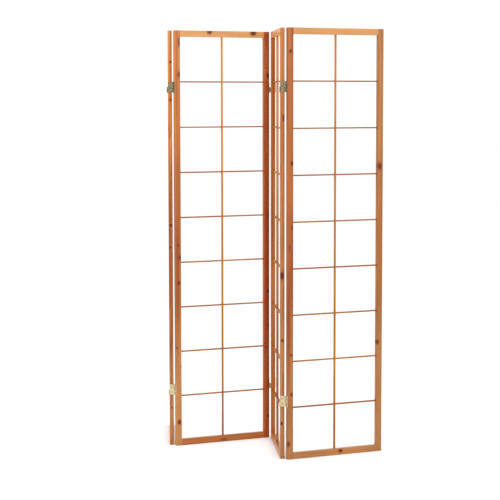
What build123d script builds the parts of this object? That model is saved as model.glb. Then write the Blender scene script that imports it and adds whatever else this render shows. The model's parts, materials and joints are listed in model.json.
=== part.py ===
from build123d import *
import math
import os

# A four-panel folding screen. Each panel is a stile-and-rail frame with an open lattice of thin bars.
# Neighbouring panels are joined by two double-acting hinges, which fold to the front and to the back.
# Units are millimetres. +X runs along the zigzag, +Y points to the back, +Z is up, and the floor is z = 0.

# ---- panel frame ----
panel_count = 4
panel_width = 440.0
panel_height = 1780.0
panel_thickness = 18.0
stile_width = 25.0
rail_height = 27.0
edge_radius = 1.5            # rounding on the long edges of stiles and rails

# ---- lattice ----
cross_bar_count = 8          # eight cross bars make nine rows of panes
bar_face = 5.5               # width of a bar as seen from the front
bar_depth = 10.0             # depth of a bar through the panel
bar_rounding = 0.5
tenon_length = 6.0           # how far a bar enters the frame
glue_gap = 0.1               # room around a tenon, and at a halved crossing
mortise_end_room = 0.5

# ---- dowels that hold each rail to its stiles ----
dowel_radius = 3.0
dowel_glue_gap = 0.05        # around a dowel in its hole
dowel_in_stile = 16.0
dowel_in_rail = 18.0
dowel_spacing = 12.0
dowel_end_room = 1.0

# ---- standing position ----
opening_angles = (68.8, 70.6, 70.6)     # between the faces of neighbouring panels, one for each fold

# ---- double-acting hinge ----
hinge_height = 45.0
hinge_from_top = 239.0       # from the panel's top to the upper hinge's middle
hinge_from_bottom = 243.0
panel_gap = 4.2              # between the edges of neighbouring panels when the screen stands flat
leaf_thickness = 1.1
link_thickness = 1.0
leaf_side_margin = 1.0       # from a leaf's long edge to the panel's face
half_gap = 0.4               # between the two halves of a hinge, top and bottom
knuckle_radius = panel_gap / 2
knuckle_to_face = 0.3        # from the knuckle's outside to the panel's face
knuckle_gap = 0.25           # between neighbouring knuckles on one pin
knuckles_per_pin = 3
pin_radius = 1.2
pin_running_gap = 0.05
pin_head_radius = 1.7
pin_head_height = 0.6
pin_head_gap = 0.1
tab_gap = 0.4                # between the link's tab and the head of the pin above it

# ---- hinge screws ----
screw_spacing = 23.0
screw_shank_radius = 1.5
screw_length = 14.0
screw_tip = 3.0
screw_head_radius = 3.0
screw_head_height = 0.85
screw_head_edge = 0.25       # height of the head's straight rim
screw_hole_gap = 0.2         # around the shank in the leaf
pilot_gap = 0.05             # around the shank in the wood
recess_width = 0.9
recess_length = 3.4
recess_depth = 0.5
window_radius = screw_head_radius + 0.7   # opening in the link for the screw heads

# ---- derived places ----
half_thickness = panel_thickness / 2
pin_offset = half_thickness + knuckle_to_face + knuckle_radius
plate_reach = half_thickness - leaf_side_margin
hinge_levels = {"upper": panel_height - hinge_from_top, "lower": hinge_from_bottom}
rail_length = panel_width - 2 * stile_width
inner_height = panel_height - 2 * rail_height
pane_height = (inner_height - cross_bar_count * bar_face) / (cross_bar_count + 1)
cross_bar_levels = [
    rail_height + (i + 1) * pane_height + (i + 0.5) * bar_face for i in range(cross_bar_count)
]
turn_angles = [180.0 - angle for angle in opening_angles]     # from flat to the standing position
lean = turn_angles[1] / 2               # between the two middle panels and the X axis
edge_room = panel_width + panel_gap


def block(u0, u1, v0, v1, z0, z1):
    """A box between two corners."""
    return Pos((u0 + u1) / 2, (v0 + v1) / 2, (z0 + z1) / 2) * Box(u1 - u0, v1 - v0, z1 - z0)


def upright(radius, u, v, z0, z1):
    """A round rod along Z."""
    return Pos(u, v, (z0 + z1) / 2) * Cylinder(radius, z1 - z0)


def rod_along_u(radius, u0, u1, v, z):
    """A round rod along the panel's width."""
    return Pos((u0 + u1) / 2, v, z) * Rot(0, 90, 0) * Cylinder(radius, u1 - u0)


# ---- panel pieces, in the panel's own frame: u from left to right, v from front to back ----
def mortise(u_inner, direction, level):
    """The pocket that a cross bar's tenon enters, from the stile's inner edge."""
    depth = direction * (tenon_length + mortise_end_room)
    half_face = bar_face / 2 + glue_gap
    half_depth = bar_depth / 2 + glue_gap
    u0, u1 = sorted([u_inner, u_inner + depth])
    return block(u0, u1, -half_depth, half_depth, level - half_face, level + half_face)


def rail_levels():
    """The middle height of the bottom rail and of the top rail."""
    return [rail_height / 2, panel_height - rail_height / 2]


def dowel_levels():
    return [level + side * dowel_spacing / 2 for level in rail_levels() for side in (-1, 1)]


def stile(left, has_hinges):
    """A full-height upright with pockets for the bars, dowel holes, and pilot holes for hinge screws."""
    u0 = 0.0 if left else panel_width - stile_width
    inner = stile_width if left else panel_width - stile_width
    outer = 0.0 if left else panel_width
    inward = -1 if left else 1
    body = block(u0, u0 + stile_width, -half_thickness, half_thickness, 0, panel_height)
    body = fillet(body.edges(), edge_radius)
    for level in cross_bar_levels:
        body -= mortise(inner, inward, level)
    hole_end = inner + inward * (dowel_in_stile + dowel_end_room)
    for level in dowel_levels():
        body -= rod_along_u(dowel_radius + dowel_glue_gap, *sorted([inner, hole_end]), 0, level)
    if has_hinges:
        pilot_end = outer - inward * screw_length
        for level in hinge_levels.values():
            for side in (-1, 1):
                z = level + side * screw_spacing / 2
                hole = rod_along_u(screw_shank_radius + pilot_gap, *sorted([outer, pilot_end]), 0, z)
                body -= hole
    return body


def rail(top):
    """A rail between the stiles, with a pocket for the upright bar and two dowel holes in each end."""
    z0 = panel_height - rail_height if top else 0.0
    ends = (stile_width, panel_width - stile_width)
    body = block(*ends, -half_thickness, half_thickness, z0, z0 + rail_height)
    body = fillet(body.edges().filter_by(Axis.X), edge_radius)
    inner = z0 if top else rail_height
    pocket_end = inner + (1 if top else -1) * (tenon_length + mortise_end_room)
    half_face = bar_face / 2 + glue_gap
    half_depth = bar_depth / 2 + glue_gap
    middle = panel_width / 2
    pocket_z = sorted([inner, pocket_end])
    body -= block(middle - half_face, middle + half_face, -half_depth, half_depth, *pocket_z)
    for side in (-1, 1):
        z = z0 + rail_height / 2 + side * dowel_spacing / 2
        reach = dowel_in_rail + dowel_end_room
        for end in (ends[0], ends[1] - reach):
            body -= rod_along_u(dowel_radius + dowel_glue_gap, end, end + reach, 0, z)
    return body


def upright_bar():
    """The middle bar, halved from the back where each cross bar passes."""
    middle = panel_width / 2
    half_face = bar_face / 2
    z0 = rail_height - tenon_length
    z1 = panel_height - rail_height + tenon_length
    body = block(middle - half_face, middle + half_face, -bar_depth / 2, bar_depth / 2, z0, z1)
    body = fillet(body.edges().filter_by(Axis.Z), bar_rounding)
    for level in cross_bar_levels:
        z_low = level - half_face - glue_gap
        z_high = level + half_face + glue_gap
        body -= block(middle - bar_face, middle + bar_face, 0, bar_depth, z_low, z_high)
    return body


def cross_bars():
    """The cross bars, each halved from the front where the upright bar passes."""
    bars = []
    middle = panel_width / 2
    half_face = bar_face / 2
    u0 = stile_width - tenon_length
    for level in cross_bar_levels:
        z = (level - half_face, level + half_face)
        bar = block(u0, panel_width - u0, -bar_depth / 2, bar_depth / 2, *z)
        bar = fillet(bar.edges().filter_by(Axis.X), bar_rounding)
        notch_half = half_face + glue_gap
        notch_u = (middle - notch_half, middle + notch_half)
        bar -= block(*notch_u, -bar_depth, 0, level - bar_face, level + bar_face)
        bars.append(bar)
    return Compound(children=bars)


def rail_dowels():
    """The dowels, two in each end of each rail."""
    dowels = []
    for level in dowel_levels():
        for inner, outward in ((stile_width, -1), (panel_width - stile_width, 1)):
            ends = sorted([inner + outward * dowel_in_stile, inner - outward * dowel_in_rail])
            dowels.append(rod_along_u(dowel_radius, *ends, 0, level))
    return Compound(children=dowels)


# ---- hinge pieces, in the joint's frame: u = 0 midway between the panels, z = 0 at the hinge's middle ----
def knuckle_spans(lower):
    """The height spans of the knuckles on one pin, from the bottom up."""
    z0 = -hinge_height / 2 if lower else half_gap / 2
    z1 = -half_gap / 2 if lower else hinge_height / 2
    pitch = (z1 - z0 + knuckle_gap) / knuckles_per_pin
    return [(z0 + i * pitch, z0 + (i + 1) * pitch - knuckle_gap) for i in range(knuckles_per_pin)]


def knuckle(v_pin, span, plate_u, bore):
    """A rolled knuckle with the web that ties it to its plate."""
    z0, z1 = span
    side = 1 if v_pin > 0 else -1
    web = block(*plate_u, *sorted([side * plate_reach, v_pin]), z0, z1)
    ring = upright(knuckle_radius, 0, v_pin, z0, z1) + web
    return ring - upright(bore, 0, v_pin, z0 - 1, z1 + 1)


outer_knuckles = (0, 2)
middle_knuckle = (1,)
leaf_outer = panel_gap / 2
leaf_inner = panel_gap / 2 - leaf_thickness


def leaf(left):
    """A fixed leaf. The left one holds the front pin, low down, and the right one the back pin, high up."""
    plate_u = (-leaf_outer, -leaf_inner) if left else (leaf_inner, leaf_outer)
    body = block(*plate_u, -plate_reach, plate_reach, -hinge_height / 2, hinge_height / 2)
    v_pin = -pin_offset if left else pin_offset
    for index, span in enumerate(knuckle_spans(left)):
        if index in outer_knuckles:
            body += knuckle(v_pin, span, plate_u, pin_radius)
    for side in (-1, 1):
        hole = screw_shank_radius + screw_hole_gap
        body -= rod_along_u(hole, plate_u[0] - 1, plate_u[1] + 1, 0, side * screw_spacing / 2)
    return body


def link():
    """The loose middle plate, which turns on the left leaf's front pin and the right leaf's back pin."""
    plate_u = (-link_thickness / 2, link_thickness / 2)
    body = block(*plate_u, -plate_reach, plate_reach, -hinge_height / 2, hinge_height / 2)
    # a tab below the back pin is as wide as the knuckles above it, and covers the gap between folded panels
    tab_top = half_gap / 2 - pin_head_gap - pin_head_height - tab_gap
    body += block(*plate_u, plate_reach, pin_offset + knuckle_radius, -hinge_height / 2, tab_top)
    for lower, v_pin in ((True, -pin_offset), (False, pin_offset)):
        for index, span in enumerate(knuckle_spans(lower)):
            if index in middle_knuckle:
                body += knuckle(v_pin, span, plate_u, pin_radius + pin_running_gap)
    for side in (-1, 1):
        body -= rod_along_u(window_radius, -knuckle_radius, knuckle_radius, 0, side * screw_spacing / 2)
    return body


def hinge_pin(front):
    """A pin with a flat button at each end: the front pin in the lower half, the back pin in the upper."""
    spans = knuckle_spans(front)
    z0, z1 = spans[0][0] - pin_head_gap, spans[-1][1] + pin_head_gap
    v = -pin_offset if front else pin_offset
    body = upright(pin_radius, 0, v, z0, z1)
    body += upright(pin_head_radius, 0, v, z0 - pin_head_height, z0)
    body += upright(pin_head_radius, 0, v, z1, z1 + pin_head_height)
    return body


def screw(left, z):
    """A wood screw with a low domed head and a cross recess. Its head sits on the leaf."""
    straight = screw_length - screw_tip
    shank = Pos(0, 0, leaf_thickness - straight / 2) * Cylinder(screw_shank_radius, straight)
    cone = Cone(screw_shank_radius, screw_shank_radius / 6, screw_tip)
    tip = Pos(0, 0, leaf_thickness - straight - screw_tip / 2) * Rot(180, 0, 0) * cone
    head = Pos(0, 0, leaf_thickness + screw_head_height / 2) * Cylinder(screw_head_radius, screw_head_height)
    rim = head.edges().filter_by(GeomType.CIRCLE).sort_by(Axis.Z)[-1]
    head = fillet(rim, screw_head_height - screw_head_edge)
    body = shank + tip + head
    top = leaf_thickness + screw_head_height
    for length, width in ((recess_length, recess_width), (recess_width, recess_length)):
        body -= Pos(0, 0, top) * Box(length, width, 2 * recess_depth)
    turn = 90 if left else -90
    base = -leaf_outer if left else leaf_outer
    return Pos(base, 0, z) * Rot(0, turn, 0) * body


# ---- where each panel stands: its plan position and its heading, from one turn about a pin to the next ----
def turned(place, u, v, degrees):
    """The place after a turn about an upright axis at (u, v) in that place's own frame."""
    return place * Pos(u, v, 0) * Rot(0, 0, degrees) * Pos(-u, -v, 0)


def chain():
    """The places of the panels and links. Folds alternate: to the back, to the front, to the back."""
    panels = [Pos(0, 0, 0) * Rot(0, 0, lean - turn_angles[0])]
    links = []
    pin_u = panel_width + panel_gap / 2
    for index, turn_angle in enumerate(turn_angles):
        here = panels[-1]
        folds_back = index % 2 == 0
        v = pin_offset if folds_back else -pin_offset
        folded = turned(here, pin_u, v, turn_angle if folds_back else -turn_angle)
        # the link stays with the left panel when folding back, and with the right one when folding forward
        links.append((here if folds_back else folded) * Pos(pin_u, 0, 0))
        panels.append(folded * Pos(edge_room, 0, 0))
    return panels, links


def centred(panels, links):
    """Moves the whole zigzag so that the origin is at the middle of its footprint."""
    corners = []
    for index, place in enumerate(panels):
        # the outermost points are the panels' corners and the knuckles on the outer side of each fold
        for u in (0.0, panel_width):
            for v in (-half_thickness, half_thickness):
                corners.append((place * Pos(u, v, 0)).position)
    for place in links:
        for v in (-pin_offset, pin_offset):
            for du, dv in ((-1, 0), (1, 0), (0, -1), (0, 1)):
                centre = (place * Pos(0, v, 0)).position
                corners.append(centre + Vector(du, dv, 0) * knuckle_radius)
    xs = [c.X for c in corners]
    ys = [c.Y for c in corners]
    shift = Pos(-(min(xs) + max(xs)) / 2, -(min(ys) + max(ys)) / 2, 0)
    return [shift * p for p in panels], [shift * p for p in links]


panel_places, link_places = centred(*chain())


def in_joint(place, left, level):
    """A hinge's own frame on a panel: at the right edge for a left leaf, at the left edge for a right one."""
    u = panel_width + panel_gap / 2 if left else -panel_gap / 2
    return place * Pos(u, 0, level)


def panel_nodes():
    nodes = {}
    for index, place in enumerate(panel_places):
        name = f"panel_{index + 1}_"
        nodes[name + "left_stile"] = place * stile(True, index > 0)
        nodes[name + "right_stile"] = place * stile(False, index < panel_count - 1)
        nodes[name + "top_rail"] = place * rail(True)
        nodes[name + "bottom_rail"] = place * rail(False)
        nodes[name + "upright_bar"] = place * upright_bar()
        nodes[name + "cross_bars"] = place * cross_bars()
        nodes[name + "rail_dowels"] = place * rail_dowels()
    return nodes


def hinge_nodes():
    nodes = {}
    for index, link_place in enumerate(link_places):
        joint = f"hinge_{index + 1}{index + 2}_"
        sides = {"left": panel_places[index], "right": panel_places[index + 1]}
        for level_name, level in hinge_levels.items():
            nodes[joint + level_name + "_link"] = link_place * Pos(0, 0, level) * link()
            for side, place in sides.items():
                is_left = side == "left"
                nodes[f"{joint}{level_name}_{side}_leaf"] = in_joint(place, is_left, level) * leaf(is_left)
        for side, place in sides.items():
            is_left = side == "left"
            pins = [in_joint(place, is_left, z) * hinge_pin(is_left) for z in hinge_levels.values()]
            nodes[joint + ("front" if is_left else "back") + "_pins"] = Compound(children=pins)
            screws = []
            for level in hinge_levels.values():
                for way in (-1, 1):
                    screws.append(in_joint(place, is_left, level) * screw(is_left, way * screw_spacing / 2))
            nodes[f"{joint}{side}_screws"] = Compound(children=screws)
    return nodes


os.makedirs("parts", exist_ok=True)
for node_name, shape in {**panel_nodes(), **hinge_nodes()}.items():
    export_step(shape, f"parts/{node_name}.step")
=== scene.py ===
import json
import math

import bmesh
import bpy
import numpy as np
from mathutils import Matrix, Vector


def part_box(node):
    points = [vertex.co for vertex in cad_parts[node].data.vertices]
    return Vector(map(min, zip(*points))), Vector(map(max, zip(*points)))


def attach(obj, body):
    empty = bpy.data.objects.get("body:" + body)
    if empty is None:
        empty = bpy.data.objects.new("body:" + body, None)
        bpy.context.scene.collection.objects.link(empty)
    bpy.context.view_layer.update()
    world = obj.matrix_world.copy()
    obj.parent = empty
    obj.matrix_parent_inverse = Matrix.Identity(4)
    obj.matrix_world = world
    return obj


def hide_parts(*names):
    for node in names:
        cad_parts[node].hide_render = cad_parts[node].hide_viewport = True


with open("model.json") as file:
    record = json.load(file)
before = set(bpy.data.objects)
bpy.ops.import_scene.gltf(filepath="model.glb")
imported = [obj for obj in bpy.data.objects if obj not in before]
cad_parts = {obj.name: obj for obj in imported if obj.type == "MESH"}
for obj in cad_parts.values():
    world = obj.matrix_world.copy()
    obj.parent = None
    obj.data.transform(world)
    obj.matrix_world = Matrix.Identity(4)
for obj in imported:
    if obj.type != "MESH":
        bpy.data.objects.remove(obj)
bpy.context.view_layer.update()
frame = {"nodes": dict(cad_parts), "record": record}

record = frame["record"]
bodyOf = {node: body for body, nodes in record["behaviour"]["bodies"].items() for node in nodes}
print("frame loaded:", len(bodyOf), "nodes")


# one shader node: a socket given as an input is linked, anything else is set as its value
def addNode(tree, kind, inputs=None, **settings):
    made = tree.nodes.new("ShaderNode" + kind)
    for key, value in settings.items():
        setattr(made, key, value)
    for key, value in (inputs or {}).items():
        if isinstance(value, bpy.types.NodeSocket):
            tree.links.new(value, made.inputs[key])
        else:
            made.inputs[key].default_value = value
    return made


# sums on single values; clamp keeps the answer between 0 and 1
def calc(tree, operation, a, b=0.0, clamp=False):
    return addNode(tree, "Math", {0: a, 1: b}, operation=operation, use_clamp=clamp).outputs[0]


def plus(tree, a, b, clamp=False):
    return calc(tree, "ADD", a, b, clamp)


def minus(tree, a, b, clamp=False):
    return calc(tree, "SUBTRACT", a, b, clamp)


def times(tree, a, b):
    return calc(tree, "MULTIPLY", a, b)


# the same on vectors
def vectorCalc(tree, operation, a, b):
    return addNode(tree, "VectorMath", {0: a, 1: b}, operation=operation).outputs[0]


def vectorLength(tree, vector):
    return addNode(tree, "VectorMath", {0: vector}, operation="LENGTH").outputs["Value"]


def mixColor(tree, share, a, b):
    return addNode(tree, "Mix", {0: share, 6: a, 7: b}, data_type="RGBA").outputs[2]


# smooth noise from 0 to 1, its features 1 / scale metres long on each axis
def noiseNode(tree, coords, scale, detail, roughness):
    stretched = vectorCalc(tree, "MULTIPLY", coords, scale)
    settings = {"Vector": stretched, "Scale": 1.0, "Detail": detail, "Roughness": roughness}
    return addNode(tree, "TexNoise", settings, noise_dimensions="3D")


def noise(tree, coords, scale, detail=2.0, roughness=0.5):
    return noiseNode(tree, coords, scale, detail, roughness).outputs[0]


# three noises at once, pushed both ways from nothing by up to half of reach on each axis
def sway(tree, coords, scale, reach, detail=2.0):
    mixed = noiseNode(tree, coords, scale, detail, 0.5).outputs["Color"]
    return vectorCalc(tree, "MULTIPLY", vectorCalc(tree, "SUBTRACT", mixed, (0.5, 0.5, 0.5)), reach)


# a value from 0 to 1 made to swing both ways from nothing
def swing(tree, value, size):
    return times(tree, minus(tree, value, 0.5), size)


# rises smoothly from 0 at the span's start to 1 at its end, and falls when the start is the larger
def ramp(tree, value, span):
    start, end = span
    ends = {"From Min": start, "From Max": end, "To Min": 0.0, "To Max": 1.0}
    if start > end:
        ends = {"From Min": end, "From Max": start, "To Min": 1.0, "To Max": 0.0}
    return addNode(tree, "MapRange", {"Value": value, **ends}, interpolation_type="SMOOTHSTEP").outputs[0]


def newMaterial(name):
    material = bpy.data.materials.new(name)
    material.use_nodes = True
    material.node_tree.nodes.clear()
    return material, material.node_tree


def finishMaterial(tree, inputs):
    shader = addNode(tree, "BsdfPrincipled", inputs)
    addNode(tree, "OutputMaterial", {"Surface": shader.outputs[0]})


# varnished pine: growth rings round a pith beside the stick, fibres along it, knots that cross it
pineNoise = {                          # features to the metre: twice across the stick, then along it
    "bend": (16.0, 16.0, 1.7),
    "ruffle": (130.0, 130.0, 10.0),
    "ragged": (420.0, 420.0, 240.0),
    "fibre": (1500.0, 1500.0, 26.0),
    "streak": (95.0, 95.0, 1.4),
    "patch": (30.0, 30.0, 5.0),
    "pore": (2300.0, 2300.0, 90.0),
    "rubbed": (70.0, 70.0, 9.0),
    "ripple": (260.0, 260.0, 35.0),
}
frameWood = {
    "early": (0.51, 0.168, 0.034, 1.0),
    "late": (0.27, 0.055, 0.009, 1.0),
    "red": (0.27, 0.042, 0.005, 1.0),
    "pale": (0.72, 0.37, 0.135, 1.0),
    "knot": (0.120, 0.019, 0.005, 1.0),
    "bark": (0.020, 0.005, 0.003, 1.0),
    "worn": (0.64, 0.30, 0.11, 1.0),
    "ringGap": 0.0031,                 # metres between growth rings
    "ringBend": 0.013,                 # how far the rings wander along the stick
    "ringRuffle": 0.0012,
    "lateRise": (0.25, 0.93),          # the dark late wood grows through this part of each ring
    "lateDrop": (1.0, 0.95),           # and stops short here
    "lateCurve": 1.6,
    "lateShare": 0.72,
    "redSpan": (0.46, 0.66),           # streaks of one noise: its high part is red, its low part pale
    "redLess": 0.08,
    "paleSpan": (0.47, 0.33),
    "paleShare": 0.55,
    "paleRings": 0.45,
    "streaks": 0.72,
    "poreSpan": (0.66, 0.74),
    "poreShare": 0.38,
    "fibreLift": 0.46,                 # how much fibres and slow patches lighten and darken
    "patchLift": 0.42,
    "knotPush": 0.0055,                # how far a knot pushes the rings aside, in metres
    "knotSpread": -0.30,
    "knotRagged": 0.55,                # the rest of a knot is measured in its own radii
    "haloSpan": (2.3, 0.95),
    "haloShare": 0.62,
    "knotSpan": (1.02, 0.86),
    "knotRings": 19.0,
    "knotRingShare": 0.16,
    "heartSpan": (0.75, 0.1),
    "heartCurve": 4.0,
    "heartShare": 0.85,
    "rimRise": (0.80, 0.95),
    "rimDrop": (1.18, 1.0),
    "rimShare": 0.7,
    "rubbedSpan": (0.52, 0.70),
    "rubbedShare": 0.38,
    "lateHeight": 0.30,                # shares of the relief
    "fibreHeight": 0.40,
    "rippleHeight": 0.50,
    "poreDepth": 0.25,
    "bumpStrength": 0.42,
    "bumpDistance": 0.00022,
    "roughness": 0.36,
    "fibreRough": 0.16,
    "lateRough": -0.05,
    "rubbedRough": 0.5,
    "coat": 0.10,
    "coatRoughness": 0.20,
    "shine": 0.20,
}
barWood = {
    **frameWood,
    "early": (0.45, 0.148, 0.018, 1.0),
    "late": (0.27, 0.068, 0.008, 1.0),
    "red": (0.32, 0.066, 0.006, 1.0),
    "pale": (0.62, 0.28, 0.05, 1.0),
    "ringGap": 0.0019,
    "roughness": 0.46,
    "coat": 0.04,
    "shine": 0.12,
}


def varnishedPine(name, look):
    material, tree = newMaterial(name)
    # each stick's lightness and redness, its own tone plus painted light (stiles lighter towards the top,
    # paler at the bottom), then the share of a rounded edge
    grain, knot, toneAndLight = [addNode(tree, "Attribute", attribute_name=label).outputs["Vector"]
                         for label in ("grain", "knot", "toneAndLight")]
    strength = addNode(tree, "SeparateXYZ", {0: knot}).outputs[2]
    lightness, redness, edge = addNode(tree, "SeparateXYZ", {0: toneAndLight}).outputs
    acrossOnly = (1.0, 1.0, 0.0)

    # rings: the distance from the pith, bent slowly along the stick and pushed aside by each knot
    bent = sway(tree, grain, pineNoise["bend"], (look["ringBend"], look["ringBend"], 0.0))
    ruffled = sway(tree, grain, pineNoise["ruffle"], (look["ringRuffle"], look["ringRuffle"], 0.0))
    flat = vectorCalc(tree, "MULTIPLY", grain, acrossOnly)
    fromPith = vectorLength(tree, vectorCalc(tree, "ADD", flat, vectorCalc(tree, "ADD", bent, ruffled)))
    ragged = sway(tree, grain, pineNoise["ragged"], (look["knotRagged"], look["knotRagged"], 0.0), 3.0)
    knotPlace = vectorCalc(tree, "ADD", vectorCalc(tree, "MULTIPLY", knot, acrossOnly), ragged)
    fromKnot = vectorLength(tree, knotPlace)
    falling = calc(tree, "EXPONENT", times(tree, times(tree, fromKnot, fromKnot), look["knotSpread"]))
    push = times(tree, times(tree, falling, strength), look["knotPush"])
    phase = calc(tree, "FRACT", calc(tree, "DIVIDE", plus(tree, fromPith, push), look["ringGap"]))
    rising = calc(tree, "POWER", ramp(tree, phase, look["lateRise"]), look["lateCurve"])
    late = times(tree, rising, ramp(tree, phase, look["lateDrop"]))
    wood = mixColor(tree, times(tree, late, look["lateShare"]), look["early"], look["late"])

    # fibres, open pores, long streaks of colour and slow patches
    fibre = noise(tree, grain, pineNoise["fibre"], 3.0, 0.6)
    streak = noise(tree, grain, pineNoise["streak"], 3.0)
    patch = noise(tree, grain, pineNoise["patch"])
    pores = ramp(tree, noise(tree, grain, pineNoise["pore"], 1.0), look["poreSpan"])
    # redness carries painted light as well as the wood's tone: the stiles are paler at the bottom
    reddish = plus(tree, times(tree, ramp(tree, streak, look["redSpan"]), look["streaks"]), redness)
    wood = mixColor(tree, minus(tree, reddish, look["redLess"], clamp=True), wood, look["red"])
    golden = times(tree, ramp(tree, streak, look["paleSpan"]), look["streaks"] * look["paleShare"])
    palest = mixColor(tree, times(tree, late, look["paleRings"]), look["pale"], look["early"])
    wood = mixColor(tree, minus(tree, golden, redness, clamp=True), wood, palest)
    wood = mixColor(tree, times(tree, pores, look["poreShare"]), wood, look["late"])
    lift = plus(tree, swing(tree, fibre, look["fibreLift"]), swing(tree, patch, look["patchLift"]))
    # lightness carries painted light as well as the wood's tone: the stiles are lighter towards the top
    lift = plus(tree, plus(tree, lift, lightness), 1.0)
    wood = addNode(tree, "VectorMath", {0: wood, "Scale": lift}, operation="SCALE").outputs[0]

    # knots: a red halo, a body with its own rings and a dark heart, and a dark bark line
    halo = times(tree, ramp(tree, fromKnot, look["haloSpan"]), times(tree, strength, look["haloShare"]))
    wood = mixColor(tree, halo, wood, look["red"])
    inside = times(tree, ramp(tree, fromKnot, look["knotSpan"]), strength)
    knotRings = calc(tree, "SINE", times(tree, fromKnot, look["knotRings"]))
    knotRings = times(tree, knotRings, look["knotRingShare"])
    knotShade = plus(tree, knotRings, ramp(tree, fromKnot, look["heartSpan"]), clamp=True)
    heart = times(tree, calc(tree, "POWER", strength, look["heartCurve"]), look["heartShare"])
    knotColor = mixColor(tree, times(tree, knotShade, heart), look["knot"], look["bark"])
    wood = mixColor(tree, inside, wood, knotColor)
    rim = times(tree, ramp(tree, fromKnot, look["rimRise"]), ramp(tree, fromKnot, look["rimDrop"]))
    rim = times(tree, times(tree, rim, strength), look["rimShare"])
    wood = mixColor(tree, rim, wood, look["bark"])

    # the varnish is rubbed thin here and there along the rounded edges
    rubbed = ramp(tree, noise(tree, grain, pineNoise["rubbed"], 4.0, 0.65), look["rubbedSpan"])
    rubbed = times(tree, times(tree, rubbed, edge), look["rubbedShare"])
    wood = mixColor(tree, rubbed, wood, look["worn"])

    # surface: raised late wood, open fibres, sunk bark lines, and the slow ripple of brushed varnish
    ripple = noise(tree, grain, pineNoise["ripple"])
    height = plus(tree, times(tree, late, look["lateHeight"]), times(tree, fibre, look["fibreHeight"]))
    height = plus(tree, height, times(tree, ripple, look["rippleHeight"]))
    height = minus(tree, height, plus(tree, times(tree, pores, look["poreDepth"]), rim))
    bump = addNode(tree, "Bump", {"Height": height, "Strength": look["bumpStrength"],
                                  "Distance": look["bumpDistance"]}).outputs[0]
    rough = plus(tree, swing(tree, fibre, look["fibreRough"]), times(tree, late, look["lateRough"]))
    rough = plus(tree, plus(tree, rough, times(tree, rubbed, look["rubbedRough"])), look["roughness"])
    finishMaterial(tree, {
        "Base Color": wood, "Roughness": rough, "Normal": bump, "Coat Weight": look["coat"],
        "Coat Roughness": look["coatRoughness"], "Specular IOR Level": look["shine"]})
    return material


# bare beech for the hidden dowels: short flecks along pale wood
dowelWood = {
    "fleckNoise": (260.0, 260.0, 1500.0),
    "fleckSpan": (0.56, 0.66),
    "fleckShare": 0.5,
    "cloudNoise": (60.0, 60.0, 60.0),
    "dark": (0.55, 0.33, 0.17, 1.0),
    "pale": (0.68, 0.45, 0.25, 1.0),
    "fleck": (0.36, 0.18, 0.08, 1.0),
    "bumpStrength": 0.3,
    "bumpDistance": 0.0002,
    "roughness": 0.5,
    "cloudRough": 0.2,
}


def bareBeech(name, look):
    material, tree = newMaterial(name)
    coords = addNode(tree, "TexCoord").outputs["Object"]
    flecks = ramp(tree, noise(tree, coords, look["fleckNoise"]), look["fleckSpan"])
    cloudy = noise(tree, coords, look["cloudNoise"], 3.0)
    color = mixColor(tree, cloudy, look["dark"], look["pale"])
    color = mixColor(tree, times(tree, flecks, look["fleckShare"]), color, look["fleck"])
    bump = addNode(tree, "Bump", {"Height": flecks, "Strength": look["bumpStrength"],
                                  "Distance": look["bumpDistance"]}).outputs[0]
    rough = plus(tree, times(tree, cloudy, look["cloudRough"]), look["roughness"])
    finishMaterial(tree, {"Base Color": color, "Roughness": rough, "Normal": bump})
    return material


# pressed brass under an old lacquer: brown clouds, green freckles, fine scratches
upperBrass = {
    "clean": (0.35, 0.29, 0.160, 1.0),
    "dull": (0.120, 0.100, 0.056, 1.0),
    "green": (0.100, 0.105, 0.060, 1.0),
    "dullSpan": (0.34, 0.66),
    "roughness": 0.36,
    "cloudNoise": (210.0, 210.0, 210.0),
    "freckleNoise": (900.0, 900.0, 900.0),
    "scratchNoise": (5200.0, 5200.0, 240.0),
    "crossNoise": (420.0, 420.0, 6400.0),
    "dullShare": 0.85,
    "freckleSpan": (0.62, 0.72),
    "freckleShare": 0.6,
    "scratchSpan": (0.55, 0.72),
    "scratchShare": 0.20,
    "dullRough": 0.20,
    "scratchRough": 0.10,
    "scratchHeight": 0.5,
    "crossHeight": 0.3,
    "freckleDepth": 0.4,
    "bumpStrength": 0.35,
    "bumpDistance": 0.00006,
    "coat": 0.25,
    "coatRoughness": 0.15,
}
lowerBrass = {
    **upperBrass,
    "clean": (0.68, 0.57, 0.345, 1.0),
    "dull": (0.40, 0.30, 0.16, 1.0),
    "green": (0.30, 0.27, 0.15, 1.0),
    "dullSpan": (0.44, 0.76),
    "roughness": 0.32,
}
screwBrass = {
    **upperBrass,
    "clean": (0.52, 0.42, 0.27, 1.0),
    "dull": (0.22, 0.160, 0.085, 1.0),
    "green": (0.18, 0.17, 0.09, 1.0),
    "dullSpan": (0.42, 0.68),
    "roughness": 0.30,
}


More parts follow.
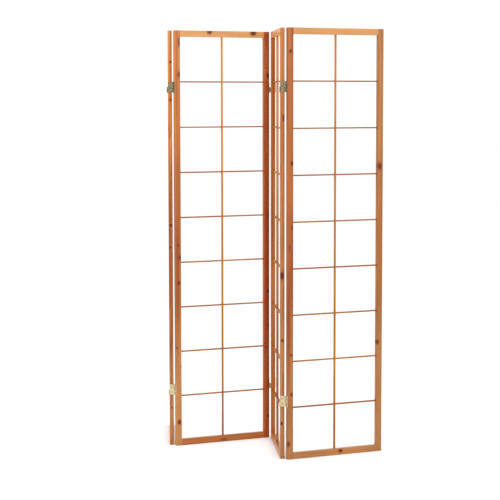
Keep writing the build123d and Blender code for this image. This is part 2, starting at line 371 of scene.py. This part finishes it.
def lacqueredBrass(name, look):
    material, tree = newMaterial(name)
    coords = addNode(tree, "TexCoord").outputs["Object"]
    clouds = noise(tree, coords, look["cloudNoise"], 5.0, 0.65)
    freckles = ramp(tree, noise(tree, coords, look["freckleNoise"]), look["freckleSpan"])
    scratches = noise(tree, coords, look["scratchNoise"], 2.0, 0.6)
    crossed = noise(tree, coords, look["crossNoise"], 2.0, 0.6)
    dull = ramp(tree, clouds, look["dullSpan"])
    color = mixColor(tree, times(tree, dull, look["dullShare"]), look["clean"], look["dull"])
    color = mixColor(tree, times(tree, freckles, look["freckleShare"]), color, look["green"])
    scored = times(tree, ramp(tree, scratches, look["scratchSpan"]), look["scratchShare"])
    color = mixColor(tree, scored, color, look["clean"])
    rough = plus(tree, times(tree, dull, look["dullRough"]), look["roughness"])
    rough = plus(tree, rough, times(tree, scratches, look["scratchRough"]))
    height = plus(tree, times(tree, scratches, look["scratchHeight"]),
                  times(tree, crossed, look["crossHeight"]))
    height = minus(tree, height, times(tree, freckles, look["freckleDepth"]))
    bump = addNode(tree, "Bump", {"Height": height, "Strength": look["bumpStrength"],
                                  "Distance": look["bumpDistance"]}).outputs[0]
    finishMaterial(tree, {
        "Base Color": color, "Metallic": 1.0, "Roughness": rough, "Normal": bump,
        "Coat Weight": look["coat"], "Coat Roughness": look["coatRoughness"]})
    return material


framePine = varnishedPine("varnishedFramePine", frameWood)
barPine = varnishedPine("varnishedBarPine", barWood)
beech = bareBeech("bareBeechDowel", dowelWood)
agedBrass = lacqueredBrass("agedHingeBrass", upperBrass)
paleBrass = lacqueredBrass("paleHingeBrass", lowerBrass)
fixingBrass = lacqueredBrass("screwAndPinBrass", screwBrass)
print("materials made:", len(bpy.data.materials))


# a CAD node's points as one array
def nodePoints(node):
    mesh = frame["nodes"][node].data
    points = np.empty(len(mesh.vertices) * 3, np.float32)
    mesh.vertices.foreach_get("co", points)
    return points.reshape(-1, 3).astype(float)


# a panel's own axes: u runs from the middle of the left stile to the middle of the right one, v to the back
def panelAxes(number):
    ends = []
    for side in ("left", "right"):
        low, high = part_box(f"panel_{number}_{side}_stile")
        ends.append(np.array((low + high) / 2)[:2])
    u = (ends[1] - ends[0]) / np.linalg.norm(ends[1] - ends[0])
    turn = np.array([[u[0], u[1], 0.0], [-u[1], u[0], 0.0], [0.0, 0.0, 1.0]])
    return np.array([ends[0][0], ends[0][1], 0.0]), turn


# knots by panel and stick: height or distance along the stick, distance from its middle, radius, all in
# metres, then the length of the oval over its width, and how dark it is. Side knots cross the narrow faces.
# An empty list means no knots, and a stick that isn't named gets a few at random
knotLists = {
    "panel_1_left_stile": [
        (0.412, 0.004, 0.0040, 1.3, 0.8), (1.236, -0.005, 0.0046, 1.2, 0.9),
    ],
    "panel_1_right_stile": [
        (0.163, -0.001, 0.0026, 1.1, 0.8, "side"), (0.858, -0.002, 0.0036, 1.3, 0.95, "side"),
        (0.953, 0.001, 0.0050, 1.1, 1.0, "side"), (1.170, 0.006, 0.0026, 1.1, 0.9, "side"),
        (1.488, 0.004, 0.0042, 1.2, 0.85, "side"), (1.647, 0.003, 0.0040, 1.0, 1.0, "side"),
    ],
    "panel_2_left_stile": [
        (0.102, 0.001, 0.0062, 1.35, 0.95), (0.345, 0.0100, 0.0030, 1.2, 0.9),
        (0.426, -0.008, 0.0032, 1.2, 0.85), (0.564, -0.006, 0.0018, 1.2, 0.7),
        (0.706, 0.001, 0.0062, 1.25, 0.9), (0.815, 0.0080, 0.0056, 1.7, 0.85),
        (0.868, 0.000, 0.0040, 1.2, 0.85), (1.594, 0.0090, 0.0066, 1.5, 0.8),
        (1.730, 0.0100, 0.0060, 2.6, 0.75),
    ],
    "panel_2_right_stile": [
        (0.0985, 0.0090, 0.0050, 1.4, 1.0), (0.403, -0.0045, 0.0038, 1.3, 0.85),
        (0.500, 0.0100, 0.0032, 2.6, 0.75), (0.649, 0.0070, 0.0056, 1.2, 1.0),
        (0.985, 0.0095, 0.0044, 3.2, 0.75), (1.591, 0.0065, 0.0062, 1.5, 0.95),
    ],
    "panel_2_top_rail": [
        (0.160, 0.0085, 0.0078, 1.15, 0.85), (0.364, 0.0065, 0.0090, 1.25, 0.9),
    ],
    "panel_2_bottom_rail": [
        (0.219, -0.0040, 0.0046, 2.6, 0.50),
    ],
    "panel_3_left_stile": [
        (0.236, 0.003, 0.0038, 1.2, 0.8), (1.103, -0.004, 0.0036, 1.2, 0.8),
        (1.474, -0.002, 0.0058, 2.6, 0.95),
    ],
    "panel_3_right_stile": [
        (0.149, -0.003, 0.0046, 1.2, 0.97, "side"), (0.496, 0.000, 0.0044, 1.1, 0.98, "side"),
        (0.766, -0.0015, 0.0080, 1.75, 0.95, "side"), (1.413, 0.0060, 0.0044, 3.0, 0.7, "side"),
    ],
    "panel_3_top_rail": [
        (0.271, 0.004, 0.0058, 1.3, 0.9),
    ],
    "panel_4_left_stile": [
        (0.065, -0.0080, 0.0044, 2.0, 0.9), (0.272, 0.0065, 0.0050, 1.3, 0.95),
        (0.437, 0.0030, 0.0040, 1.2, 0.9), (0.640, 0.0085, 0.0026, 1.4, 0.7),
        (0.881, -0.0050, 0.0036, 3.6, 0.55), (0.964, 0.0075, 0.0042, 1.6, 0.8),
        (1.228, 0.0082, 0.0066, 1.3, 1.0), (1.684, -0.0010, 0.0050, 1.2, 0.95),
    ],
    "panel_4_right_stile": [
        (0.468, -0.0095, 0.0062, 1.3, 0.9), (1.210, -0.0035, 0.0084, 1.5, 0.85),
    ],
    "panel_4_bottom_rail": [
        (0.245, 0.0030, 0.0058, 1.3, 1.0),
    ],
    "panel_4_top_rail": [],
}

# each stick's tone as (lighter or darker, redder or paler): one pair, or one each for its start, middle
# and end. Partly the wood's own tone and partly painted light: the stiles run lighter towards the top, where
# the light falls brighter, and paler at the bottom, where light from the white floor washes them out
toneAndPaintedLightLists = {
    "panel_1_right_stile": ((-0.26, -0.25), (-0.04, 0.45), (-0.06, -0.10)),
    "panel_2_left_stile": ((-0.24, -0.62), (-0.16, 0.30), (0.08, -0.10)),
    "panel_2_right_stile": ((0.08, 0.76), (0.10, 0.78), (0.16, 0.70)),
    "panel_2_top_rail": ((-0.10, -0.85),),
    "panel_2_bottom_rail": ((-0.12, -0.05),),
    "panel_3_left_stile": ((-0.20, 0.25),),
    "panel_3_right_stile": ((-0.36, -0.35), (-0.24, -0.12), (0.02, -0.22)),
    "panel_3_top_rail": ((-0.06, -0.60),),
    "panel_4_left_stile": ((-0.34, -0.30), (-0.12, 0.40), (-0.05, 0.30)),
    "panel_4_right_stile": ((-0.38, -0.50), (-0.34, -0.15), (-0.30, -0.20)),
    "panel_4_top_rail": ((-0.08, -0.70),),
    "panel_4_bottom_rail": ((-0.30, -0.45),),
}
# painted light on every upright bar: darker and redder at the bottom, lighter and paler at the top
uprightPaintedLight = ((-0.18, 0.12), (0.0, 0.0), (0.22, -0.20))
crossTone = ((-0.18, 0.05),)

stickShape = {
    "cornerSteps": 5,        # points round each long edge
    "flatSteps": 4,          # spans across each flat face
    "guard": 0.0004,         # keeps the shading of a flat face flat up to the rounding
    "guardShare": 0.125,     # but no more than this share of a narrow face
    "stationGap": 0.012,     # spacing of the rings along a stick
    "leastGap": 0.00004,     # rings nearer than this to the last one are left out
    "endSteps": 3,           # spans round the eased arris at each end
    "endClear": 0.0003,      # bare length before the arris
    "endInset": 0.4,         # the flat of an end starts this share of the rounding inside it
    "sandWaves": ((0.83, 1), (0.29, 2), (0.11, 3)),   # length of each wave, and its turns round the stick
    "slope": 0.006,          # the most that the grain runs out sideways
    "grainRange": 90.0,      # sticks are cut from anywhere along this length of noise
    "lapStep": 0.00005,      # length of each step in and out of a lap
    "lapClear": 0.0002,      # bare length on both sides of a lap
    "lapEdge": 0.00002,      # a ring this near a lap's end keeps its full section
    "lapBand": 0.0009,       # the half that is cut away is pressed into this band beside the middle
    "lapGap": 0.00005,       # and stays this far from the middle
}
knotShape = {
    "rings": np.array([-5.0, -4.0, -3.0, -2.0, 0.0, 2.0, 3.0, 4.0, 5.0]),   # in the knot's own half lengths
    "reach": 5.0,            # its pull on the grain ends this far away
    "fadeFrom": 2.5,         # and weakens from here
    "nothing": 9.0,          # the distance given to a stick without knots
    "handover": 0.0004,      # half the gap between the rings where one knot gives way to the next
    "handoverFade": 0.0006,  # and neither knot shows this near to it
}


# a closed outline round a rectangle, counter-clockwise: quarter circles joined by straight faces.
# Each row is a point, its outward direction, and 1 in the middle of a rounded edge down to 0 on the faces
def roundedOutline(width, depth, rounding, shape):
    rows = []
    halfX, halfY = width / 2 - rounding, depth / 2 - rounding
    turns = np.linspace(0.0, math.pi / 2, shape["cornerSteps"] + 1)
    for quarter, (signX, signY) in enumerate([(1, 1), (-1, 1), (-1, -1), (1, -1)]):
        outX, outY = np.cos(turns + quarter * math.pi / 2), np.sin(turns + quarter * math.pi / 2)
        rows.append(np.stack([signX * halfX + rounding * outX, signY * halfY + rounding * outY,
                              outX, outY, np.sin(turns * 2)], 1))
        span = 2 * (halfY if quarter % 2 else halfX)
        guard = min(shape["guard"], span * shape["guardShare"])
        along = np.linspace(guard, span - guard, shape["flatSteps"] + 1)
        still = np.ones(len(along))
        rows.append(np.stack([rows[-1][-1, 0] - outY[-1] * along, rows[-1][-1, 1] + outX[-1] * along,
                              outX[-1] * still, outY[-1] * still, 0 * still], 1))
    return np.concatenate(rows)


# the rings of a stick: even spacing, closer round each knot, both sides of every lap, and a quarter circle
# at the ends. The second array says how far each ring's outline is drawn in
def stickStations(low, high, knots, laps, shape, endRound):
    arc = np.linspace(0.0, math.pi / 2, shape["endSteps"] + 1)
    eased, drawnIn = endRound * (1 - np.cos(arc)), endRound * (1 - np.sin(arc))
    first, last = low + endRound, high - endRound
    middle = [np.linspace(first, last, int((last - first) / shape["stationGap"]) + 2)[1:-1]]
    for knot in knots:
        middle.append(knot[0] + knot[2] * knot[3] * knotShape["rings"])
    ordered = sorted(knots)
    for near, far in zip(ordered, ordered[1:]):
        middle.append((near[0] + far[0]) / 2 + np.array([-knotShape["handover"], knotShape["handover"]]))
    clear, step = shape["lapClear"], shape["lapStep"]
    for start, end in laps:
        middle = [part[(part < start - clear) | (part > end + clear)] for part in middle]
        middle.append(np.array([start, start + step, end - step, end]))
    middle = np.unique(np.concatenate(middle))
    middle = middle[(middle > first + shape["endClear"]) & (middle < last - shape["endClear"])]
    middle = middle[np.concatenate([[True], np.diff(middle) > shape["leastGap"]])]
    stations = np.concatenate([low + eased, middle, (high - eased)[::-1]])
    return stations, np.concatenate([drawnIn, np.zeros(len(middle)), drawnIn[::-1]])


# the knot nearest each ring: place across and along in its own radii, and a strength that fades out
def knotField(along, across, through, knots):
    field = np.zeros(along.shape + (3,))
    field[..., 0:2] = knotShape["nothing"]
    if not knots:
        return field
    ordered = sorted(knots)
    centres = np.array([knot[0] for knot in ordered])
    nearest = np.abs(along[..., None] - centres).argmin(-1)
    reach = knotShape["reach"]
    for index, knot in enumerate(ordered):
        place, offset, radius, oval, dark = knot[:5]
        flat = through if "side" in knot[5:] else across
        alongKnot = (along - place) / (radius * oval)
        fade = np.clip((reach - np.abs(alongKnot)) / (reach - knotShape["fadeFrom"]), 0.0, 1.0)
        for other in np.delete(centres, index):
            fade = fade * (np.abs(along - (place + other) / 2) > knotShape["handoverFade"])
        own = nearest == index
        values = np.stack([(flat - offset) / radius, alongKnot, dark * fade], -1)
        field[own] = values[own]
    return field


# a stick lofted along u or z: the outline is carried through every ring, each point shifted along its outward
# direction by slow sines for hand sanding. Inside a lap, what lies on the side that isn't kept (keep is 1 or
# -1) is pressed in straight proportion into a thin band beside the middle. A fan closes each end
def loftStick(low, high, axis, look, knots, rng, laps=(), keep=0):
    shape, upright = stickShape, axis == "z"
    order = (0, 1, 2) if upright else (1, 2, 0)
    size, middle = (high - low)[list(order)], ((high + low) / 2)[list(order)]
    outline = roundedOutline(size[0], size[1], look["rounding"], shape)
    start, end = low[order[2]], high[order[2]]
    stations, drawnIn = stickStations(start, end, knots, laps, shape, look["endRound"])
    rounds = np.linspace(0.0, 2 * math.pi, len(outline), endpoint=False)
    wander = np.zeros((len(stations), len(outline)))
    for wave, turns in shape["sandWaves"]:
        phase = rng.uniform(0, 2 * math.pi)
        wander += np.sin(stations[:, None] * 2 * math.pi / wave + turns * rounds + phase)
    shift = wander * look["sanded"] / len(shape["sandWaves"]) - look["sanded"] - drawnIn[:, None]
    inner = np.full((1, len(outline)), -look["endRound"] - shape["endInset"] * look["rounding"])
    shift = np.concatenate([inner, shift, inner])
    stations = np.concatenate([[start], stations, [end]])
    x, y = outline[:, 0] + shift * outline[:, 2], outline[:, 1] + shift * outline[:, 3]
    along = np.repeat(stations[:, None], len(outline), 1)

    depth, half = (y, size[1] / 2) if upright else (x, size[0] / 2)
    band, gap, nearEnd = shape["lapBand"], shape["lapGap"], shape["lapEdge"]
    for lapStart, lapEnd in laps:
        inLap = (along > lapStart + nearEnd) & (along < lapEnd - nearEnd) & (depth * keep < band)
        pressed = keep * (band - (band - depth * keep) * (band - gap) / (band + half))
        depth = np.where(inLap, pressed, depth)
    x, y = (x, depth) if upright else (depth, y)

    section = np.stack([x, y, along], -1).reshape(-1, 3)
    section = np.concatenate([section, [[0.0, 0.0, start], [0.0, 0.0, end]]])
    edge = np.concatenate([np.tile(outline[:, 4], len(stations)), [0.0, 0.0]])
    local = np.empty_like(section)
    local[:, order[0]] = section[:, 0] + middle[0]
    local[:, order[1]] = section[:, 1] + middle[1]
    local[:, order[2]] = section[:, 2]

    count, rings = len(outline), len(stations)
    step = np.arange(count)
    ahead = np.roll(step, -1)
    base = (np.arange(rings - 1) * count)[:, None]
    quads = np.stack([base + step, base + ahead, base + count + ahead, base + count + step], -1)
    quads = quads.reshape(-1, 4)
    top = (rings - 1) * count
    fans = np.concatenate([np.stack([np.full(count, rings * count), ahead, step], 1),
                           np.stack([np.full(count, rings * count + 1), top + step, top + ahead], 1)])

    across, through = (section[:, 0], section[:, 1]) if upright else (section[:, 1], section[:, 0])
    side = rng.uniform(0, 2 * math.pi)
    pith = rng.uniform(*look["pith"]) * np.array([math.cos(side), math.sin(side)])
    slope = rng.uniform(-shape["slope"], shape["slope"], 2)
    grain = np.stack([section[:, 0] - pith[0] - slope[0] * section[:, 2],
                      section[:, 1] - pith[1] - slope[1] * section[:, 2],
                      section[:, 2] + rng.uniform(0.0, shape["grainRange"])], 1)
    knot = knotField(section[:, 2], across, through, knots)
    return local, quads, fans, grain, knot, edge, (section[:, 2] - start) / (end - start)


toneEnds = (0.08, 0.92)      # where along a stick its first and last tones stand


# several lofted sticks as one mesh with its wood attributes, in the CAD frame: each point is the panel's
# place plus its own steps along u, v and z. Tones and painted light between those given are in straight
# proportion
def stickObject(name, node, sticks, toneAndLight, place, turn, material, body):
    points, faces, grains, knots, toneAndLightRows = [], [], [], [], []
    offset = 0
    tonePlaces, toneAndLightPairs = np.linspace(*toneEnds, len(toneAndLight)), np.array(toneAndLight)
    for local, quads, fans, grain, knot, edge, share in sticks:
        points.append(place + local @ turn)
        faces += (quads + offset).tolist() + (fans + offset).tolist()
        grains.append(grain)
        knots.append(knot)
        toneAndLightRows.append(np.stack([np.interp(share, tonePlaces, toneAndLightPairs[:, 0]),
                               np.interp(share, tonePlaces, toneAndLightPairs[:, 1]), edge], 1))
        offset += len(local)
    mesh = bpy.data.meshes.new(name)
    mesh.from_pydata(np.concatenate(points), [], faces)
    mesh.polygons.foreach_set("use_smooth", [True] * len(mesh.polygons))
    for label, values in (("grain", grains), ("knot", knots), ("toneAndLight", toneAndLightRows)):
        layer = mesh.attributes.new(label, "FLOAT_VECTOR", "POINT")
        layer.data.foreach_set("vector", np.concatenate(values).astype(np.float32).ravel())
    mesh.materials.append(material)
    mesh.update()
    made = bpy.data.objects.new(name, mesh)
    bpy.context.scene.collection.objects.link(made)
    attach(made, body)
    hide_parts(node)


strayKnot = {
    "clearOfEnds": 0.05,
    "apart": 0.08,
    "offset": 0.6,           # this and the radius are shares of the stick's half width
    "radius": (0.12, 0.34),
    "oval": (1.1, 1.7),
    "dark": (0.6, 1.0),
}


# a few knots for a stick that has none listed
def strayKnots(low, high, halfWidth, rng, most):
    clear, offset = strayKnot["clearOfEnds"], strayKnot["offset"]
    places = np.sort(rng.uniform(low + clear, high - clear, rng.integers(0, most + 1)))
    kept = [place for index, place in enumerate(places)
            if index == 0 or place - places[index - 1] > strayKnot["apart"]]
    return [(place, rng.uniform(-offset, offset) * halfWidth, rng.uniform(*strayKnot["radius"]) * halfWidth,
             rng.uniform(*strayKnot["oval"]), rng.uniform(*strayKnot["dark"])) for place in kept]


frameLook = {"rounding": 0.0015, "endRound": 0.0006, "sanded": 0.00004, "pith": (0.020, 0.060)}
barLook = {"rounding": 0.0005, "endRound": 0.00025, "sanded": 0.00002, "pith": (0.012, 0.040)}
frameParts = ("left_stile", "right_stile", "top_rail", "bottom_rail")
anyTone = {"lightness": (-0.2, 0.0), "redness": (-0.3, 0.3)}
mostKnots = {"stile": 3, "rail": 1, "upright_bar": 4, "cross_bar": 1}
barKnotRoom = 0.0025         # half the width that the knots of a bar may use
barApart = 0.02              # heights further apart than this belong to two cross bars
lapSlack = 0.0001            # a lap runs this far past the bar that crosses it
firstSeed = 40

for number in (1, 2, 3, 4):
    place, turn = panelAxes(number)
    rng = np.random.default_rng(firstSeed + number)
    body = bodyOf[f"panel_{number}_left_stile"]
    inPanel = {part: (nodePoints(f"panel_{number}_{part}") - place) @ turn.T
               for part in frameParts + ("upright_bar", "cross_bars")}
    boxes = {part: (points.min(0), points.max(0)) for part, points in inPanel.items()}
    leftEdge = boxes["left_stile"][0][0]      # distances along a rail are counted from here
    for part in frameParts:
        node = f"panel_{number}_{part}"
        low, high = boxes[part]
        rail = "rail" in part
        axis, run, across = ("u", 0, 2) if rail else ("z", 2, 0)
        if node in knotLists:
            start = leftEdge if rail else 0.0
            knots = [(knot[0] + start,) + knot[1:] for knot in knotLists[node]]
        else:
            most = mostKnots["rail" if rail else "stile"]
            knots = strayKnots(low[run], high[run], (high - low)[across] / 2, rng, most)
        # drawn for every stick, so that listing one's tone and painted light doesn't change the sticks after
        # it
        ownTone = ((rng.uniform(*anyTone["lightness"]), rng.uniform(*anyTone["redness"])),)
        stick = loftStick(low, high, axis, frameLook, knots, rng)
        stickObject(f"pine_{node}", node, [stick], toneAndPaintedLightLists.get(node, ownTone), place, turn, framePine, body)

    # each cross bar's own height, from the gaps between the bars
    low, high = boxes["cross_bars"]
    heights = np.sort(inPanel["cross_bars"][:, 2])
    breaks = np.where(np.diff(heights) > barApart)[0] + 1
    barHeights = [(part[0], part[-1]) for part in np.split(heights, breaks)]
    uprightLow, uprightHigh = boxes["upright_bar"]
    lap = [(uprightLow[0] - lapSlack, uprightHigh[0] + lapSlack)]
    sticks = []
    for barLow, barHigh in barHeights:
        ends = (np.array([low[0], low[1], barLow]), np.array([high[0], high[1], barHigh]))
        knots = strayKnots(low[0], high[0], barKnotRoom, rng, mostKnots["cross_bar"])
        sticks.append(loftStick(*ends, "u", barLook, knots, rng, lap, 1))
    node = f"panel_{number}_cross_bars"
    stickObject(f"pine_{node}", node, sticks, crossTone, place, turn, barPine, body)
    knots = strayKnots(uprightLow[2], uprightHigh[2], barKnotRoom, rng, mostKnots["upright_bar"])
    laps = [(barLow - lapSlack, barHigh + lapSlack) for barLow, barHigh in barHeights]
    stick = loftStick(uprightLow, uprightHigh, "z", barLook, knots, rng, laps, -1)
    node = f"panel_{number}_upright_bar"
    stickObject(f"pine_{node}", node, [stick], uprightPaintedLight, place, turn, barPine, body)

    dowels = frame["nodes"][f"panel_{number}_rail_dowels"]
    dowels.data.materials.clear()
    dowels.data.materials.append(beech)
    print("panel", number, "made:", len(barHeights), "cross bars")


# hinge metal: the CAD shape welded into one clean skin, with every sharp edge rounded a little
metalShape = {"weld": 0.000004, "flat": 0.6, "segments": 2, "sharp": 35.0}     # metres and degrees
hingeEdge = 0.00016
pinEdge = 0.00012


def metalCopy(node, material, edge):
    mesh = frame["nodes"][node].data.copy()
    shell = bmesh.new()
    shell.from_mesh(mesh)
    bmesh.ops.remove_doubles(shell, verts=shell.verts[:], dist=metalShape["weld"])
    flat = math.radians(metalShape["flat"])
    bmesh.ops.dissolve_limit(shell, angle_limit=flat, verts=shell.verts[:], edges=shell.edges[:])
    bmesh.ops.recalc_face_normals(shell, faces=shell.faces[:])
    shell.to_mesh(mesh)
    shell.free()
    mesh.materials.clear()
    mesh.materials.append(material)
    mesh.polygons.foreach_set("material_index", [0] * len(mesh.polygons))
    mesh.polygons.foreach_set("use_smooth", [True] * len(mesh.polygons))
    made = bpy.data.objects.new(f"brass_{node}", mesh)
    bpy.context.scene.collection.objects.link(made)
    bevel = made.modifiers.new("softEdges", "BEVEL")
    bevel.width = edge
    bevel.segments = metalShape["segments"]
    bevel.limit_method = "ANGLE"
    bevel.angle_limit = math.radians(metalShape["sharp"])
    bevel.harden_normals = True
    bevel.use_clamp_overlap = True
    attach(made, bodyOf[node])
    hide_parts(node)


for pair in ("12", "23", "34"):
    for height, brass in (("upper", agedBrass), ("lower", paleBrass)):
        for part in ("link", "left_leaf", "right_leaf"):
            metalCopy(f"hinge_{pair}_{height}_{part}", brass, hingeEdge)
    for part in ("front_pins", "back_pins", "left_screws", "right_screws"):
        metalCopy(f"hinge_{pair}_{part}", fixingBrass, pinEdge)
print("hinges made")

# floor, light and camera
paleFloor = {"reach": 40.0, "color": (0.96, 0.96, 0.96, 1.0), "roughness": 0.9}
studio = {"color": (1.0, 1.0, 1.0, 1.0), "strength": 1.06}
keyLight = {"place": (-1.8, -4.4, 4.2), "target": (0.0, 0.0, 0.9), "size": 2.6, "power": 110.0}
fillLight = {"place": (5.0, -1.6, 2.6), "target": (0.0, 0.0, 0.8), "size": 3.0, "power": 40.0}
view = {"place": (3.6265, -6.0834, 1.4958), "heading": 30.83, "tilt": 84.758, "roll": -0.078,
        "sensor": 36.0, "lens": 119.47}

floorMaterial, floorTree = newMaterial("paleFloor")
finishMaterial(floorTree, {"Base Color": paleFloor["color"], "Roughness": paleFloor["roughness"]})
reach = paleFloor["reach"]
floorMesh = bpy.data.meshes.new("floor")
floorMesh.from_pydata([(-reach, -reach, 0), (reach, -reach, 0), (reach, reach, 0), (-reach, reach, 0)],
                      [], [(0, 1, 2, 3)])
floorMesh.materials.append(floorMaterial)
floor = bpy.data.objects.new("floor", floorMesh)
bpy.context.scene.collection.objects.link(floor)

world = bpy.data.worlds.new("studio")
world.use_nodes = True
world.node_tree.nodes["Background"].inputs["Color"].default_value = studio["color"]
world.node_tree.nodes["Background"].inputs["Strength"].default_value = studio["strength"]
bpy.context.scene.world = world


# a soft round panel of light, facing its target
def softLight(name, look):
    light = bpy.data.lights.new(name, "AREA")
    light.shape = "DISK"
    light.size = look["size"]
    light.energy = look["power"]
    made = bpy.data.objects.new(name, light)
    bpy.context.scene.collection.objects.link(made)
    away = np.array(look["place"]) - np.array(look["target"])
    away = away / np.linalg.norm(away)
    side = np.cross((0.0, 0.0, 1.0), away)
    side = side / np.linalg.norm(side)
    turned = np.eye(4)
    turned[:3] = np.stack([side, np.cross(away, side), away, look["place"]], 1)
    made.matrix_world = Matrix(turned.tolist())


softLight("keyLight", keyLight)
softLight("fillLight", fillLight)

camera = bpy.data.objects.new("camera", bpy.data.cameras.new("camera"))
camera.data.sensor_width = view["sensor"]
camera.data.lens = view["lens"]
camera.matrix_world = (Matrix.Translation(view["place"])
                       @ Matrix.Rotation(math.radians(view["heading"]), 4, "Z")
                       @ Matrix.Rotation(math.radians(view["tilt"]), 4, "X")
                       @ Matrix.Rotation(math.radians(view["roll"]), 4, "Z"))
bpy.context.scene.collection.objects.link(camera)
bpy.context.scene.camera = camera
bpy.context.scene.view_settings.view_transform = "Standard"

print("scene ready")
